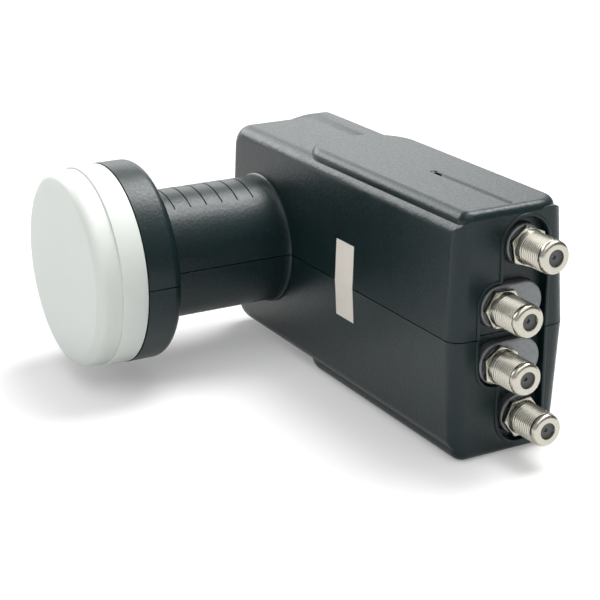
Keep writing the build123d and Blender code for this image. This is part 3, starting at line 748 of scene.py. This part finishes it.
class LNB_OT_stage(Operator):
    """Set the floor, the soft light and the camera"""

    bl_idname = "lnb.stage"
    bl_label = "Stage"

    def execute(self, context):
        scene = context.scene
        scene.view_settings.view_transform = "Standard"
        self.floor(scene)
        self.reflector(scene)
        self.world(scene)
        self.camera(scene)
        return {"FINISHED"}

    def prop(self, scene, built, name, material):
        """An object of the stage from a finished bmesh."""
        mesh = bpy.data.meshes.new(name)
        built.to_mesh(mesh)
        built.free()
        mesh.materials.append(material)
        made = bpy.data.objects.new(name, mesh)
        scene.collection.objects.link(made)
        return made

    def floor(self, scene):
        """A pale floor that keeps the soft shadow."""
        built = bmesh.new()
        bmesh.ops.create_grid(built, x_segments=1, y_segments=1, size=FLOOR_HALF)
        bmesh.ops.translate(built, verts=built.verts, vec=(0, 0, cad_box[0][2]))
        material, tree, output = new_material("white_paper_floor")
        rays = add(tree, "ShaderNodeLightPath").outputs
        diffuse = add(tree, "ShaderNodeBsdfDiffuse", {"Color": rgba(linear("#d0d0d0"))})
        mirrored = add(tree, "ShaderNodeMath", {0: rays["Is Camera Ray"], 1: rays["Is Glossy Ray"]})
        shown = add(
            tree, "ShaderNodeMath", {0: mirrored.outputs[0], 1: rays["Is Transmission Ray"]}, use_clamp=True
        )
        glow = add(tree, "ShaderNodeMath", {0: shown.outputs[0], 1: FLOOR_GLOW}, operation="MULTIPLY")
        light = add(tree, "ShaderNodeEmission", {"Strength": glow.outputs[0]})
        both = add(tree, "ShaderNodeAddShader", {0: diffuse.outputs[0], 1: light.outputs[0]})
        tree.links.new(both.outputs[0], output.inputs[0])
        self.prop(scene, built, "floor", material)

    def reflector(self, scene):
        """A soft card behind the part that only shines back in its gloss, brighter towards the left."""
        built = bmesh.new()
        bmesh.ops.create_grid(built, x_segments=1, y_segments=1, size=1.0)
        upright = Matrix.Rotation(radians(90), 4, "X")
        placed = Matrix.Translation(CARD_PLACE) @ Matrix.Diagonal(CARD_HALF) @ upright
        bmesh.ops.transform(built, verts=built.verts, matrix=placed)
        material, tree, output = new_material("soft_reflector_card")
        place = add(tree, "ShaderNodeTexCoord").outputs["Object"]
        axes = add(tree, "ShaderNodeSeparateXYZ", {0: place}).outputs
        shine = fade_edges(tree, axes, CARD_EDGES, CARD_LIGHT)
        light = add(tree, "ShaderNodeEmission", {"Strength": shine})
        clear = add(tree, "ShaderNodeBsdfTransparent")
        both = add(tree, "ShaderNodeAddShader", {0: clear.outputs[0], 1: light.outputs[0]})
        tree.links.new(both.outputs[0], output.inputs[0])
        card = self.prop(scene, built, "reflector", material)
        card.visible_camera = False
        card.visible_diffuse = False
        card.visible_shadow = False

    def world(self, scene):
        """A dim room with a pale wall behind, and soft boxes above, at the left and in front."""
        world = bpy.data.worlds.new("studio")
        scene.world = world
        world.use_nodes = True
        tree = world.node_tree
        tree.nodes.clear()
        way = add(tree, "ShaderNodeTexCoord").outputs["Generated"]
        axes = add(tree, "ShaderNodeSeparateXYZ", {0: way}).outputs
        wall = fade_edges(tree, axes, WALL_EDGES, WALL_LIGHT)
        total = add(tree, "ShaderNodeMath", {0: wall, 1: ROOM_LIGHT}).outputs[0]
        for direction, end, fade, strength in SOFT_BOXES:
            aim = Vector(direction).normalized()
            near = add(tree, "ShaderNodeVectorMath", {0: way, 1: aim}, operation="DOT_PRODUCT")
            share = add(
                tree,
                "ShaderNodeMapRange",
                {
                    "Value": near.outputs["Value"],
                    "From Min": cos(radians(end)),
                    "From Max": cos(radians(fade)),
                    "To Max": strength,
                },
                interpolation_type="SMOOTHSTEP",
            )
            total = add(tree, "ShaderNodeMath", {0: total, 1: share.outputs[0]}).outputs[0]
        seen = add(tree, "ShaderNodeLightPath").outputs["Is Camera Ray"]
        shown = add(tree, "ShaderNodeMix", {0: seen, 2: total, 3: 1.0}, data_type="FLOAT")
        white = rgba((1.0, 1.0, 1.0))
        light = add(tree, "ShaderNodeBackground", {"Color": white, "Strength": shown.outputs[0]})
        output = add(tree, "ShaderNodeOutputWorld")
        tree.links.new(light.outputs[0], output.inputs[0])

    def camera(self, scene):
        """The photograph's view, from the fit to its edges."""
        data = bpy.data.cameras.new("camera")
        data.sensor_fit = "HORIZONTAL"
        data.sensor_width = CAMERA_SENSOR
        data.lens = CAMERA_FOCAL_SHARE * CAMERA_SENSOR
        data.clip_start = CAMERA_NEAR
        camera = bpy.data.objects.new("camera", data)
        axes = Matrix((CAMERA_RIGHT, -Vector(CAMERA_DOWN), -Vector(CAMERA_FORWARD))).transposed()
        camera.matrix_world = Matrix.Translation(CAMERA_PLACE) @ axes.to_4x4()
        scene.collection.objects.link(camera)
        scene.camera = camera


class LNB_PT_panel(Panel):
    """Steps that dress the LNB"""

    bl_idname = "LNB_PT_panel"
    bl_label = "Satellite LNB"
    bl_space_type = "VIEW_3D"
    bl_region_type = "UI"
    bl_category = "LNB"

    def draw(self, context):
        for step in STEPS:
            self.layout.operator(step.bl_idname)
        for group in ("housing", "cap", "connector", "label", "finish"):
            box = self.layout.box()
            settings = getattr(context.scene.lnb, group)
            for name in settings.__annotations__:
                box.prop(settings, name)


STEPS = (
    LNB_OT_housing,
    LNB_OT_feed_cap,
    LNB_OT_connectors,
    LNB_OT_chassis,
    LNB_OT_label,
    LNB_OT_stage,
)
GROUPS = (HousingSizes, FeedCapSizes, ConnectorSizes, LabelSizes, FinishColours, LnbSettings)


def register():
    for item in (*GROUPS, *STEPS, LNB_PT_panel):
        bpy.utils.register_class(item)
    bpy.types.Scene.lnb = PointerProperty(type=LnbSettings)


def unregister():
    del bpy.types.Scene.lnb
    for item in reversed((*GROUPS, *STEPS, LNB_PT_panel)):
        bpy.utils.unregister_class(item)


def main():
    register()
    bpy.ops.lnb.housing()
    bpy.ops.lnb.feed_cap()
    bpy.ops.lnb.connectors()
    bpy.ops.lnb.chassis()
    bpy.ops.lnb.label()
    bpy.ops.lnb.stage()


if __name__ == "__main__":
    main()
